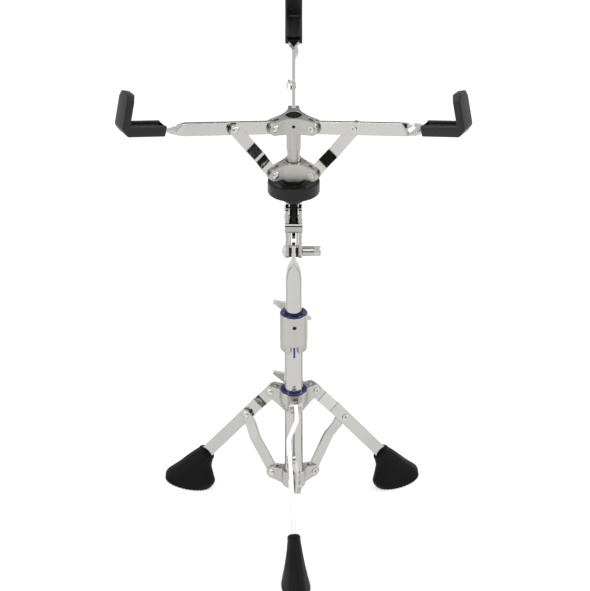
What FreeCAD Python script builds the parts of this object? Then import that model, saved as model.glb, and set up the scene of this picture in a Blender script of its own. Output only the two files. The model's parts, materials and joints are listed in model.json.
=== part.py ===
import FreeCAD
import Part
import math
import os

# Snare drum stand: a folding tripod, a telescopic post, a tilter and a three-arm basket.
# Lengths are in millimetres and angles in degrees. The origin is on the post's axis at floor
# level, +Z is up, and the first basket arm points along +Y. Arms and legs are drawn along +X,
# with +Y as their left side, and then turned to their own direction.

# Shared fits
overrun = 2.0  # how far a cutting shape runs past what it cuts
pin_gap = 0.1  # round a rivet, bolt or fixed tube in its hole
slide_gap = 0.3  # between faces that slide past each other
rubber_gap = 0.1  # between rubber and the metal inside it
edge_round = 0.6  # broken edges of castings and rubber
same_point = 0.001  # points of an outline nearer than this are one

# Layout
arm_count = 3
spread = 360 / arm_count
first_arm_turn = 90.0  # direction of the first basket arm
first_leg_turn = 274.9  # direction of the front leg, as the post swivels freely in its sleeve
sleeve_turn = 3.5  # lower tube and sleeve, turned from the first basket arm

# Rivets
shank_radius = 2.2
head_radius = 4.4
head_height = 1.9
tail_radius = 3.6
tail_height = 1.0
dimple_radius = 1.9
dimple_depth = 1.4

# Posts
lower_tube_diameter = 22.2
upper_tube_diameter = 19.05
tube_wall = 1.2
lower_tube_length = 212.0
upper_tube_depth = 160.0  # upper tube hidden below the sleeve's top
post_extension = 81.0  # sleeve's top to the tilt axis
lower_tube_tail = 11.0  # tube below the collar's pivots
tube_hole_radius = 1.1
tube_hole_rise = 13.0  # above the leg hub's pivots

# Leg linkage
collar_height = 57.4  # collar pivots above the floor
leg_hub_spacing = 113.7  # collar pivots to leg hub pivots
leg_hub_radius = 27.9
collar_radius = 27.0
leg_lean = 38.8  # leg's angle from the vertical
leg_reach = 60.9  # hub pivot to brace pivot along the leg
leg_width = 15.2
leg_thickness = 5.0
leg_crank_start = 17.0
leg_crank_end = 38.0
brace_width = 14.2
brace_thickness = 3.0
brace_shift = 5.5  # brace's top end moved to its right side
brace_crank_start = 48.0
brace_crank_end = 64.0
brace_slack_along = 3.8  # play at the collar rivet, along the brace
brace_slack_across = 1.6
strip_bend_share = 0.3  # of a crank's length, taken by its bends
leg_washer_thickness = 0.9
washer_radius = 5.2

# Leg hub
leg_ear_thickness = 4.2
leg_lobe = 8.0
leg_web_reach = 24.0
leg_barrel_radius = 16.6
leg_barrel_drop = 17.0
leg_barrel_step = 5.0
leg_barrel_foot_wall = 1.6
bush_wall = 2.2
bush_flange_height = 1.4
bush_flange_lip = 0.9  # metal left outside the flange

# Lower collar
collar_ear_thickness = 4.0
collar_lobe = 7.5
collar_web_reach = 21.0
collar_barrel_wall = 3.2
collar_barrel_rise = 10.5
collar_barrel_drop = 10.0

# Feet
foot_socket_height = 54.8  # socket's middle above the floor
foot_socket_half_length = 9.7
foot_socket_half_width = 6.9
foot_length = 67.1
foot_half_width = 17.2
# Sections below the socket, as shares: inner edge outwards from the socket's middle and outer edge
# of the foot's length, each followed by its height of the socket's, then half the width
foot_section_shares = (
    (-0.052, 0.602, 0.365, 0.821, 0.535),
    (-0.089, 0.392, 0.611, 0.511, 0.686),
    (-0.128, 0.192, 0.864, 0.201, 0.866),
    (-0.067, 0.0, 0.872, 0.0, 1.0),
)
foot_grip = 28.0  # leg inside the foot

# Height sleeve
sleeve_radius = 16.4
sleeve_height = 38.3
sleeve_grip = 13.8  # lower tube inside the sleeve
sleeve_lip_height = 10.2
sleeve_lip_step = 0.5
sleeve_lip_round = 3.0
sleeve_notch_width = 9.6
sleeve_dimple_radius = 2.4
sleeve_dimple_depth = 0.8
sleeve_hole_radius = 2.3
sleeve_hole_drop = 11.9  # below the sleeve's top
height_bush_wall = 3.4
height_bush_dish = 1.4  # hollow of the bush's top, below the sleeve's
height_bush_lip = 1.0
key_width = 2.0
key_tail = 16.3  # key below the sleeve's body

# Wing bolts
wing_shank_radius = 3.0
wing_hub_radius = 6.0
wing_hub_length = 11.0
wing_span = 51.0
wing_thickness = 4.6
wing_root = 6.4  # half height of a wing at the hub
wing_tip_round = 1.6
wing_turn = 29.0  # wings' angle in the photo
wing_boss_radius = 7.4
sleeve_boss_length = 4.4
leg_boss_length = 4.2
leg_boss_radius = 5.8
leg_boss_rise = 4.0  # above the leg hub's pivots

# Tilter
flat_thickness = 4.0
flat_width = 26.5
flat_rise = 24.0  # flattened tube above the tilt axis
flat_drop = 9.0  # flat part below the tilt axis
flat_round_share = 0.98  # rounding of its top corners, of half the width
shoulder_length = 29.0
# Sections of the flattening tube: share of its height, then depth and width as shares of the tube's
shoulder_shares = (
    (0.12, 0.99, 1.01),
    (0.3, 0.94, 1.06),
    (0.5, 0.85, 1.13),
    (0.7, 0.62, 1.28),
    (0.85, 0.37, 1.36),
)
shoulder_bore_drop = 3.0
tilt_washer_thickness = 3.2
tilt_washer_radius = 7.0
tilt_bolt_radius = 3.0
tilt_head_radius = 8.0
tilt_head_height = 4.2
cheek_thickness = 3.8
cheek_half_depth = 8.0
yoke_bar_rise = 26.0  # tilt axis to the underside of the yoke's bar
yoke_bar_height = 13.5
yoke_bar_lip = 0.9
yoke_bar_round = 3.0
yoke_bar_crown = 5.0  # rounding of its long edges
yoke_ear_height = 20.4
yoke_ear_half_depth = 6.5
yoke_pin_radius = 1.8
yoke_pin_head_radius = 4.0
yoke_pin_head_height = 2.4
yoke_pin_shares = (0.245, 0.745)  # height of the pins, of the ears'
liner_gap = 3.0  # from the middle to a liner's inner face
liner_thickness = 2.0
liner_half_depth = 6.0
handle_length = 21.5
handle_radius = 5.8
handle_span = 38.0
handle_thickness = 6.4
handle_turn = 61.3  # wings' angle from the vertical
handle_bolt_depth = 12.0

# Basket post
rod_diameter = 10.0
rod_show = 4.6  # rod between the yoke and the knob
guide_tube_diameter = 14.6
guide_tube_entry = 6.0  # guide tube inside the upper hub's barrel
basket_spacing = 57.3  # lower hub pivots to upper hub pivots
basket_travel = 18.5

# Knob
knob_radius = 29.65
knob_rim_height = 13.4
knob_rim_round = 1.4
knob_cone_height = 12.7
knob_cone_top_radius = 16.0
knob_cone_foot_radius = 11.0
knob_cone_round = 2.6
knob_boss_height = 3.0
knob_boss_radius = 12.5
knob_dish_depth = 2.2
knob_dish_inner_radius = 17.0
knob_dish_wall = 4.4

# Basket hubs
basket_radius = 26.4  # pivots from the axis
basket_ear_thickness = 4.3
upper_lobe = 8.0
upper_web_reach = 22.0
upper_boss_rise = 9.5
upper_boss_radius = 12.0
upper_hub_drop = 9.9
upper_barrel_length = 22.6
upper_barrel_wall = 0.6
cap_radius = 9.1
cap_depth = 4.0
cap_recess = 0.8
hub_screw_radius = 1.7
hub_screw_recess = 1.8
lower_lobe = 7.3
lower_web_reach = 22.0
lower_hub_rise = 10.3
lower_hub_drop = 11.0
lower_hub_core_radius = 14.0
lower_hub_waist_radius = 18.5
lower_hub_waist_drop = 6.6
lower_hub_counterbore = 5.6

# Arms, struts and claws
arm_rise = 11.8  # arm's angle above the horizontal
arm_width = 15.0
arm_thickness = 3.5
strut_reach = 51.9  # hub pivot to strut pivot along the arm
strut_width = 13.7
strut_thickness = 3.0
strut_crank_start = 18.0
strut_crank_top = 37.0
strut_crank_end = 54.0
strut_overstep = 2.2  # at the crank's top, past where the strut lies beside the arm
strut_slack_along = 1.8  # play at the lower hub rivet, along the strut
strut_slack_across = 1.3
arm_washer_thickness = 1.95
slack_gap = 0.6
arm_length = 195.0  # hub pivot to the claw's outer face
twist_length = 27.6
twist_shares = (0.0, 0.25, 0.5, 0.75, 1.0)
tongue_width = 12.6
tongue_bend = 2.0
tongue_rise = 32.0
claw_length = 53.4
claw_half_width = 10.1
claw_floor = 3.3  # claw's underside below the arm's middle
claw_lip = 6.6  # lips above the arm's middle
claw_wall = 9.0  # thickness of the upright
claw_height = 44.8
claw_top_round = 6.5  # corners of the upright's top, seen along the arm
claw_nose_height = 7.5
claw_nose_depth = 1.4
claw_heel = 8.4  # slanted lower corner
claw_groove_half_width = 6.2
claw_groove_floor = 3.3
claw_groove_depth = 1.2
claw_tongue_cover = 2.8  # rubber outside the tongue's upright

# Heights worked out from the sizes above
origin = FreeCAD.Vector(0, 0, 0)
x_axis = FreeCAD.Vector(1, 0, 0)
y_axis = FreeCAD.Vector(0, 1, 0)
z_axis = FreeCAD.Vector(0, 0, 1)
lower_radius = lower_tube_diameter / 2
upper_radius = upper_tube_diameter / 2
rod_radius = rod_diameter / 2
guide_radius = guide_tube_diameter / 2
leg_hub_height = collar_height + leg_hub_spacing
lower_tube_bottom = collar_height - lower_tube_tail
lower_tube_top = lower_tube_bottom + lower_tube_length
sleeve_bottom = lower_tube_top - sleeve_grip
sleeve_top = sleeve_bottom + sleeve_height
tilt_height = sleeve_top + post_extension
yoke_bar_bottom = tilt_height + yoke_bar_rise
yoke_bar_top = yoke_bar_bottom + yoke_bar_height
yoke_top = yoke_bar_top + yoke_ear_height
yoke_pin_heights = [yoke_bar_top + yoke_ear_height * share for share in yoke_pin_shares]
knob_bottom = yoke_top + rod_show
knob_rim_bottom = knob_bottom + knob_cone_height
knob_rim_top = knob_rim_bottom + knob_rim_height
knob_top = knob_rim_top + knob_boss_height
lower_hub_height = knob_top + slide_gap + lower_hub_drop
upper_hub_height = lower_hub_height + basket_spacing
upper_barrel_bottom = upper_hub_height - upper_hub_drop - upper_barrel_length
guide_tube_top = upper_barrel_bottom + guide_tube_entry
cheek_gap = flat_thickness / 2 + slide_gap + tilt_washer_thickness
cheek_face = cheek_gap + cheek_thickness

# Sideways places of the flat bars
strut_side = arm_thickness / 2 + arm_washer_thickness + strut_thickness / 2
leg_side = -brace_shift - brace_thickness / 2 - leg_washer_thickness - leg_thickness / 2
arm_ear_face = arm_thickness / 2 + slide_gap + basket_ear_thickness
strut_ear_face = strut_thickness / 2 + slide_gap + basket_ear_thickness
leg_ear_face = leg_thickness / 2 + slide_gap + leg_ear_thickness
brace_ear_face = brace_thickness / 2 + slide_gap + collar_ear_thickness

# Pivots of the two linkages, as radius and height
strut_pivot_radius = basket_radius + strut_reach * math.cos(math.radians(arm_rise))
strut_pivot_height = upper_hub_height + strut_reach * math.sin(math.radians(arm_rise))
strut_run = strut_pivot_radius - basket_radius
strut_climb = strut_pivot_height - lower_hub_height
strut_length = math.hypot(strut_run, strut_climb)
strut_rise = math.degrees(math.atan2(strut_climb, strut_run))
claw_start = arm_length - claw_length
twist_start = claw_start - twist_length
brace_pivot_radius = leg_hub_radius + leg_reach * math.sin(math.radians(leg_lean))
brace_pivot_height = leg_hub_height - leg_reach * math.cos(math.radians(leg_lean))
brace_run = brace_pivot_radius - collar_radius
brace_climb = brace_pivot_height - collar_height
brace_length = math.hypot(brace_run, brace_climb)
brace_rise = math.degrees(math.atan2(brace_climb, brace_run))
leg_fall = leg_lean - 90
leg_socket = (leg_hub_height - foot_socket_height) / math.cos(math.radians(leg_lean))
foot_radius = leg_hub_radius + leg_socket * math.sin(math.radians(leg_lean))


def vector(x, y, z):
    return FreeCAD.Vector(x, y, z)


def turned(shape, axis, degrees):
    copy = shape.copy()
    copy.rotate(origin, axis, degrees)
    return copy


def moved(shape, x, y, z):
    copy = shape.copy()
    copy.translate(vector(x, y, z))
    return copy


def rod_along(axis, radius, low, high, x=0, y=0, z=0):
    # Round bar from low to high along an axis, beside the origin by x, y and z.
    base = vector(x, y, z) + axis * low
    return Part.makeCylinder(radius, high - low, base, axis)


def block(low, high):
    size = high - low
    return Part.makeBox(size.x, size.y, size.z, low)


def outline(corners, place):
    # Closed wire through corners of (a, b, radius): tangent arcs round those with a radius.
    count = len(corners)
    arrivals, departures, edges = [], [], []
    for index, (a, b, radius) in enumerate(corners):
        here = vector(a, b, 0)
        back = vector(*corners[index - 1][:2], 0) - here
        ahead = vector(*corners[(index + 1) % count][:2], 0) - here
        back.normalize()
        ahead.normalize()
        half = back.getAngle(ahead) / 2
        reach = radius / math.tan(half)
        arrivals.append(here + back * reach)
        departures.append(here + ahead * reach)
        bisector = back + ahead
        if radius:
            bisector.normalize()
            crown = here + bisector * (radius / math.sin(half) - radius)
            ends = [place(p) for p in (arrivals[index], crown, departures[index])]
            edges.append(Part.Arc(*ends).toShape())
    for index in range(count):
        start = place(departures[index - 1])
        end = place(arrivals[index])
        if not start.isEqual(end, same_point):
            edges.append(Part.makeLine(start, end))
    return Part.Wire(Part.__sortEdges__(edges))


def spun(corners):
    # Body of revolution about the post's axis, from corners of (radius, height, rounding).
    wire = outline(corners, lambda p: vector(p.x, 0, p.y))
    return Part.Face(wire).revolve(origin, z_axis, 360)


def slab(corners, low, high):
    # Outline in X and Z, run along Y from low to high.
    wire = outline(corners, lambda p: vector(p.x, low, p.y))
    return Part.Face(wire).extrude(vector(0, high - low, 0))


def ring(outer, inner, low, high):
    return rod_along(z_axis, outer, low, high).cut(rod_along(z_axis, inner, low - overrun, high + overrun))


def round_ended(length, radius, low, high, square_end=False):
    # Outline of a flat bar from a pivot at the origin along +X, run along Y.
    corners = [vector(0, low, radius), vector(length, low, radius)]
    corners += [vector(length, low, -radius), vector(0, low, -radius)]
    edges = [Part.Arc(corners[3], vector(-radius, low, 0), corners[0]).toShape()]
    edges.append(Part.makeLine(corners[0], corners[1]))
    if square_end:
        edges.append(Part.makeLine(corners[1], corners[2]))
    else:
        edges.append(Part.Arc(corners[1], vector(length + radius, low, 0), corners[2]).toShape())
    edges.append(Part.makeLine(corners[2], corners[3]))
    return Part.Face(Part.Wire(edges)).extrude(vector(0, high - low, 0))


def heading(path, index):
    step = vector(*path[index + 1], 0) - vector(*path[index], 0)
    return step.normalize()


def strip(path, thickness, width):
    # Strip that steps sideways. Its path's points are (along, sideways); the crank starts at the second.
    left, right = [], []
    last = len(path) - 1
    reach = math.dist(path[1], path[2]) * strip_bend_share / 2
    for index, (along, sideways) in enumerate(path):
        before = heading(path, max(index - 1, 0))
        after = heading(path, min(index, last - 1))
        mitre = (before + after) * (thickness / 2 / (1 + before.dot(after)))
        half_turn = before.getAngle(after) / 2
        bend = 0 if index in (0, last) else reach / math.tan(half_turn)
        left.append((along - mitre.y, sideways + mitre.x, bend))
        right.append((along + mitre.y, sideways - mitre.x, bend))
    wire = outline(left + right[::-1], lambda p: vector(p.x, p.y, -width / 2))
    return Part.Face(wire).extrude(vector(0, 0, width))


def raised(shape, rise, radius, height):
    # Tips a bar up by its rise and sets its pivot at a radius and height.
    return moved(turned(shape, y_axis, -rise), radius, 0, height)


def dome(radius, height, base):
    # Corner points of a dome on the axis: its rim, a point half way up and its crown.
    ball = (radius**2 + height**2) / (2 * height)
    angle = math.asin(min(radius / ball, 1)) / 2
    middle = (ball * math.sin(angle), base + height - ball * (1 - math.cos(angle)))
    return (radius, base), middle, (0, base + height)


def domed_pin(stem, radius, height, base):
    # Solid of revolution whose outline runs through the stem's points and ends in a dome.
    rim, middle, crown = [vector(r, 0, z) for r, z in dome(radius, height, base)]
    points = [vector(r, 0, z) for r, z in stem] + [rim]
    edges = [Part.makeLine(a, b) for a, b in zip(points, points[1:])]
    edges += [Part.Arc(rim, middle, crown).toShape(), Part.makeLine(crown, points[0])]
    return Part.Face(Part.Wire(edges)).revolve(origin, z_axis, 360)


def rivet(low, high):
    # Rivet along Y: a domed head past high and a hollow rolled tail past low.
    tail = low - tail_height
    stem = [(0, tail + dimple_depth), (dimple_radius, tail + dimple_depth), (dimple_radius, tail)]
    stem += [(tail_radius, tail), (tail_radius, low), (shank_radius, low), (shank_radius, high)]
    return turned(domed_pin(stem, head_radius, head_height, high), x_axis, -90)


def rivet_hole(gap, reach, x=0, z=0):
    return rod_along(y_axis, shank_radius + gap, -reach, reach, x, 0, z)


def slack_hole(along, across, reach):
    # Roomy hole at the open pivot of a linkage: a slot from the pivot to (along, across).
    radius = shank_radius + slack_gap
    slot = round_ended(math.hypot(along, across), radius, -reach, reach)
    return turned(slot, y_axis, -math.degrees(math.atan2(across, along)))


def around(shape, first):
    return [turned(shape, z_axis, first + spread * index) for index in range(arm_count)]


def lobed_plan(half_width, reach, web_reach, low, high):
    # Plan of a hub: straight forks joined by hollow curved walls that leave the forks at web_reach.
    half_turn = math.radians(spread / 2)
    middle = web_reach / math.cos(half_turn)
    hollow = middle * math.sin(half_turn) - half_width
    fork = [vector(web_reach, -half_width, low), vector(reach, -half_width, low)]
    fork += [vector(reach, half_width, low), vector(web_reach, half_width, low)]
    wall = vector((middle - hollow) * math.cos(half_turn), (middle - hollow) * math.sin(half_turn), low)
    turn = FreeCAD.Rotation(z_axis, spread)
    edges = []
    for index in range(arm_count):
        edges += [Part.makeLine(a, b) for a, b in zip(fork, fork[1:])]
        following = [turn.multVec(p) for p in fork]
        edges.append(Part.Arc(fork[3], wall, following[0]).toShape())
        fork = following
        wall = turn.multVec(wall)
    return Part.Face(Part.Wire(edges)).extrude(vector(0, 0, high - low))


def lobed_body(pivot_radius, lobe, top, bottom):
    # Spun outline: through the top points, round the pivot's lobe, and back by the bottom points.
    points = [vector(r, 0, z) for r, z in top] + [vector(pivot_radius, 0, lobe)]
    under = [vector(pivot_radius, 0, -lobe)] + [vector(r, 0, z) for r, z in bottom]
    edges = [Part.makeLine(a, b) for a, b in zip(points, points[1:])]
    edges.append(Part.Arc(points[-1], vector(pivot_radius + lobe, 0, 0), under[0]).toShape())
    edges += [Part.makeLine(a, b) for a, b in zip(under, under[1:])]
    edges.append(Part.makeLine(under[-1], points[0]))
    return Part.Face(Part.Wire(edges)).revolve(origin, z_axis, 360)


def forked_hub(pivot_radius, lobe, ear_face, slot_half, end_radius, web_reach, top, bottom):
    # Casting with one slotted fork for each bar, drawn with its pivots at height zero.
    high = max(z for _, z in top) + overrun
    low = min(z for _, z in bottom) - overrun
    reach = pivot_radius + lobe + overrun
    body = lobed_body(pivot_radius, lobe, top, bottom)
    body = body.common(lobed_plan(ear_face, reach, web_reach, low, high))
    inner = pivot_radius - end_radius - slide_gap
    slot = block(vector(inner, -slot_half, low), vector(reach + overrun, slot_half, high))
    hole = rivet_hole(pin_gap, ear_face + overrun, pivot_radius)
    return body, slot, hole


def cut_forks(body, slot, hole):
    for fork in around(slot, 0) + around(hole, 0):
        body = body.cut(fork)
    return body


def wing_plate(span, root, thickness, hub, base):
    # Two wings that taper from the hub to rounded tips, as one plate square to the Z axis.
    tip = span / 2
    end = wing_tip_round
    corners = [(tip, -end, end / 2), (tip, end, end / 2), (hub, root, end), (-hub, root, end)]
    corners += [(-tip, end, end / 2), (-tip, -end, end / 2), (-hub, -root, end), (hub, -root, end)]
    wire = outline(corners, lambda p: vector(p.x, p.y, base))
    return Part.Face(wire).extrude(vector(0, 0, thickness))


def wing_bolt(tip, seat):
    # Wing bolt along +Y, from the end of its shank at tip to its collar at seat and the wings beyond.
    end = seat + wing_hub_length
    stem = [(0, tip), (wing_shank_radius, tip), (wing_shank_radius, seat), (wing_hub_radius, seat)]
    hub = domed_pin(stem, wing_hub_radius, wing_tip_round, end - wing_tip_round)
    plate_base = end - wing_tip_round - wing_thickness
    wings = wing_plate(wing_span, wing_root, wing_thickness, wing_hub_radius, plate_base)
    bolt = turned(hub.fuse(turned(wings, z_axis, wing_turn)).removeSplitter(), x_axis, -90)
    return bolt


def make_lower_tube():
    tube = ring(lower_radius, lower_radius - tube_wall, lower_tube_bottom, lower_tube_top)
    half_slit = key_width / 2 + pin_gap
    slit_foot = sleeve_bottom - key_tail - pin_gap
    low = vector(-half_slit, -lower_radius - overrun, slit_foot)
    slit = block(low, vector(half_slit, 0, lower_tube_top + overrun))
    spot = leg_hub_height + tube_hole_rise
    dot = rod_along(y_axis, tube_hole_radius, -lower_radius - overrun, 0, 0, 0, spot)
    return turned(tube.cut(slit).cut(dot), z_axis, sleeve_turn)


def make_height_sleeve():
    bore = lower_radius + pin_gap
    seat = upper_radius + slide_gap + height_bush_wall
    lip_bottom = sleeve_bottom - sleeve_lip_height
    lip_radius = sleeve_radius - sleeve_lip_step
    corners = [(bore, lip_bottom, 0), (lip_radius, lip_bottom, sleeve_lip_round)]
    corners += [(lip_radius, sleeve_bottom, 0), (sleeve_radius, sleeve_bottom, edge_round)]
    corners += [(sleeve_radius, sleeve_top, edge_round), (seat, sleeve_top, 0)]
    corners += [(seat, lower_tube_top, 0), (bore, lower_tube_top, 0)]
    sleeve = spun(corners)
    hole_height = sleeve_top - sleeve_hole_drop
    boss_face = sleeve_radius + sleeve_boss_length
    boss = rod_along(y_axis, wing_boss_radius, seat, boss_face, 0, 0, hole_height)
    sleeve = sleeve.fuse(boss).removeSplitter()
    sleeve = sleeve.cut(rod_along(z_axis, seat, lower_tube_top, sleeve_top + overrun))
    front = rod_along(y_axis, sleeve_hole_radius, -sleeve_radius - overrun, 0, 0, 0, hole_height)
    back = rod_along(y_axis, wing_shank_radius + pin_gap, 0, boss_face + overrun, 0, 0, hole_height)
    sleeve = sleeve.cut(front).cut(back)
    half_notch = sleeve_notch_width / 2
    low = vector(-half_notch, -sleeve_radius - overrun, lip_bottom - overrun)
    notch = block(low, vector(half_notch, 0, sleeve_bottom))
    dimple_low = lip_radius - sleeve_dimple_depth
    middle = (lip_bottom + sleeve_bottom) / 2
    dimple = rod_along(x_axis, sleeve_dimple_radius, dimple_low, sleeve_radius + overrun, z=middle)
    for index in range(arm_count):
        sleeve = sleeve.cut(turned(notch, z_axis, spread * index))
        for side in (-1, 1):
            sleeve = sleeve.cut(turned(dimple, z_axis, spread * index - 90 + side * spread / 3))
    return turned(sleeve, z_axis, sleeve_turn)


def make_height_bush():
    bore = upper_radius + slide_gap
    outer = bore + height_bush_wall - pin_gap
    flange = sleeve_radius - height_bush_lip
    corners = [(bore, lower_tube_top, 0), (outer, lower_tube_top, 0), (outer, sleeve_top, 0)]
    corners += [(flange, sleeve_top, 0), (flange, sleeve_top + height_bush_lip, edge_round)]
    bush_top = sleeve_top - height_bush_dish
    corners += [(flange - height_bush_lip, sleeve_top + height_bush_lip, 0)]
    corners += [(bore + height_bush_lip, bush_top, 0), (bore, bush_top, 0)]
    bush = spun(corners)
    half_key = key_width / 2
    low = vector(-half_key, -lower_radius - overrun, sleeve_bottom - key_tail)
    tail = block(low, vector(half_key, 0, lower_tube_top + pin_gap))
    shell = ring(lower_radius, lower_radius - tube_wall + pin_gap, lower_tube_bottom, sleeve_top)
    bush = bush.fuse(tail.common(shell)).removeSplitter()
    return turned(bush, z_axis, sleeve_turn)


def make_lower_collar():
    bore = lower_radius + pin_gap
    barrel = lower_radius + collar_barrel_wall
    top = [(0, collar_barrel_rise), (bore, collar_barrel_rise)]
    bottom = [(barrel, -collar_barrel_drop), (0, -collar_barrel_drop)]
    slot_half = brace_thickness / 2 + slide_gap
    end = brace_width / 2
    body, slot, hole = forked_hub(
        collar_radius, collar_lobe, brace_ear_face, slot_half, end, collar_web_reach, top, bottom
    )
    corners = [(0, -collar_barrel_drop, 0), (barrel, -collar_barrel_drop, edge_round)]
    corners += [(barrel, collar_barrel_rise, edge_round), (0, collar_barrel_rise, 0)]
    body = cut_forks(body.fuse(spun(corners)).removeSplitter(), slot, hole)
    body = body.cut(rod_along(z_axis, bore, -collar_barrel_drop - overrun, collar_barrel_rise + overrun))
    return moved(turned(body, z_axis, first_leg_turn), 0, 0, collar_height)


def make_leg_hub():
    bush_radius = lower_radius + slide_gap + bush_wall
    neck_radius = lower_radius + slide_gap + leg_barrel_foot_wall
    top = [(0, leg_lobe), (leg_barrel_radius, leg_lobe)]
    bottom = [(neck_radius, -leg_barrel_drop), (0, -leg_barrel_drop)]
    slot_half = leg_thickness / 2 + slide_gap
    end = leg_width / 2
    body, slot, hole = forked_hub(
        leg_hub_radius, leg_lobe, leg_ear_face, slot_half, end, leg_web_reach, top, bottom
    )
    corners = [(0, -leg_barrel_drop, 0), (neck_radius, -leg_barrel_drop, 0)]
    corners.append((leg_barrel_radius, -leg_barrel_step, edge_round))
    corners += [(leg_barrel_radius, leg_lobe, edge_round), (0, leg_lobe, 0)]
    boss_face = leg_barrel_radius + leg_boss_length
    boss = rod_along(x_axis, leg_boss_radius, -boss_face, 0, z=leg_boss_rise)
    body = cut_forks(body.fuse([spun(corners), boss]).removeSplitter(), slot, hole)
    bush_foot = -leg_barrel_drop + leg_barrel_step
    body = body.cut(rod_along(z_axis, bush_radius + pin_gap, bush_foot, leg_lobe + overrun))
    boss_top = leg_boss_rise + leg_boss_radius
    body = body.cut(rod_along(z_axis, leg_barrel_radius, leg_lobe, boss_top + overrun))
    body = body.cut(rod_along(z_axis, lower_radius + slide_gap, -leg_barrel_drop - overrun, leg_lobe))
    shank = wing_shank_radius + pin_gap
    body = body.cut(rod_along(x_axis, shank, -boss_face - overrun, 0, z=leg_boss_rise))
    return moved(turned(body, z_axis, first_leg_turn), 0, 0, leg_hub_height)


def make_leg_hub_bush():
    bore = lower_radius + slide_gap
    outer = bore + bush_wall
    flange = leg_barrel_radius - bush_flange_lip
    top = leg_lobe + bush_flange_height
    foot = -leg_barrel_drop + leg_barrel_step
    corners = [(bore, foot, 0), (outer, foot, 0)]
    corners += [(outer, leg_lobe, 0), (flange, leg_lobe, 0)]
    corners += [(flange, top, edge_round), (bore, top, edge_round)]
    return moved(spun(corners), 0, 0, leg_hub_height)


def hub_rivets(ear_face, pivot_radius, first, height):
    pin = moved(rivet(-ear_face, ear_face), pivot_radius, 0, height)
    return Part.makeCompound(around(pin, first))


def make_leg():
    path = [(-leg_width, 0), (leg_crank_start, 0), (leg_crank_end, leg_side)]
    path.append((leg_socket + foot_grip, leg_side))
    bar = strip(path, leg_thickness, leg_width)
    reach = abs(leg_side) + leg_thickness
    bar = bar.common(round_ended(leg_socket + foot_grip, leg_width / 2, -reach, reach, True))
    for spot in (0, leg_reach):
        bar = bar.cut(rivet_hole(pin_gap, reach, spot))
    return raised(bar, leg_fall, leg_hub_radius, leg_hub_height)


def foot_ring(inner, inner_height, outer, outer_height, half_width):
    # Oval section of the boot between two points of its side view.
    half_length = math.hypot(outer - inner, outer_height - inner_height) / 2
    tilt = math.degrees(math.atan2(outer_height - inner_height, outer - inner))
    curve = turned(Part.Wire([Part.Ellipse(origin, half_length, half_width).toShape()]), y_axis, -tilt)
    middle = (inner + outer) / 2
    return moved(curve, foot_radius + middle, leg_side, (inner_height + outer_height) / 2)


def make_foot():
    run = foot_socket_half_length * math.cos(math.radians(leg_lean))
    climb = foot_socket_half_length * math.sin(math.radians(leg_lean))
    near = (-run, foot_socket_height - climb)
    far = (run, foot_socket_height + climb)
    rings = [foot_ring(*near, *far, foot_socket_half_width)]
    for inner, inner_rise, outer, outer_rise, width in foot_section_shares:
        near = (foot_length * inner, foot_socket_height * inner_rise)
        far = (foot_length * outer, foot_socket_height * outer_rise)
        rings.append(foot_ring(*near, *far, foot_half_width * width))
    boot = Part.makeLoft(rings, True, False)
    half = leg_thickness / 2 + rubber_gap
    side = leg_width / 2 + rubber_gap
    end = leg_socket + foot_grip + rubber_gap
    low = vector(leg_socket - foot_grip, leg_side - half, -side)
    pocket = block(low, vector(end, leg_side + half, side))
    return boot.cut(raised(pocket, leg_fall, leg_hub_radius, leg_hub_height))


def make_brace():
    path = [(-brace_width, 0), (brace_crank_start, 0), (brace_crank_end, -brace_shift)]
    path.append((brace_length + brace_width, -brace_shift))
    bar = strip(path, brace_thickness, brace_width)
    reach = brace_shift + brace_thickness
    bar = bar.common(round_ended(brace_length, brace_width / 2, -reach, reach))
    bar = bar.cut(slack_hole(brace_slack_along, brace_slack_across, reach))
    bar = bar.cut(rivet_hole(pin_gap, reach, brace_length))
    return raised(bar, brace_rise, collar_radius, collar_height)


def washer(low, high):
    disc = rod_along(y_axis, washer_radius, low, high)
    return disc.cut(rivet_hole(pin_gap, abs(low) + abs(high) + overrun))


def make_leg_rivet():
    low = leg_side - leg_thickness / 2
    high = -brace_shift + brace_thickness / 2
    return moved(rivet(low, high), brace_pivot_radius, 0, brace_pivot_height)


def make_leg_washer():
    low = leg_side + leg_thickness / 2
    return moved(washer(low, low + leg_washer_thickness), brace_pivot_radius, 0, brace_pivot_height)


def make_upper_tube():
    bottom = sleeve_top - upper_tube_depth
    shoulder = tilt_height - flat_drop - shoulder_length
    tube = rod_along(z_axis, upper_radius, bottom, shoulder)
    half_flat = flat_thickness / 2
    circle = Part.Circle(vector(0, 0, shoulder), z_axis, upper_radius).toShape()
    rings = [turned(Part.Wire([circle]), z_axis, 90)]
    flat_share = (1, flat_thickness / upper_tube_diameter, flat_width / upper_tube_diameter)
    for rise, depth, width in shoulder_shares + (flat_share,):
        curve = Part.Ellipse(origin, upper_radius * width, upper_radius * depth).toShape()
        ring_here = turned(Part.Wire([curve]), z_axis, 90)
        rings.append(moved(ring_here, 0, 0, shoulder + shoulder_length * rise))
    taper = Part.makeLoft(rings, True, False)
    half_width = flat_width / 2
    corners = [(-half_width, -flat_drop - half_flat, 0), (half_width, -flat_drop - half_flat, 0)]
    corner = half_width * flat_round_share
    corners += [(half_width, flat_rise, corner), (-half_width, flat_rise, corner)]
    wire = outline(corners, lambda p: vector(-half_flat, p.x, tilt_height + p.y))
    flat = Part.Face(wire).extrude(vector(flat_thickness, 0, 0))
    tube = tube.fuse([taper, flat]).removeSplitter()
    bore_top = shoulder - shoulder_bore_drop
    tube = tube.cut(rod_along(z_axis, upper_radius - tube_wall, bottom - overrun, bore_top))
    reach = half_flat + overrun
    return tube.cut(rod_along(x_axis, tilt_bolt_radius + pin_gap, -reach, reach, z=tilt_height))


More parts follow.
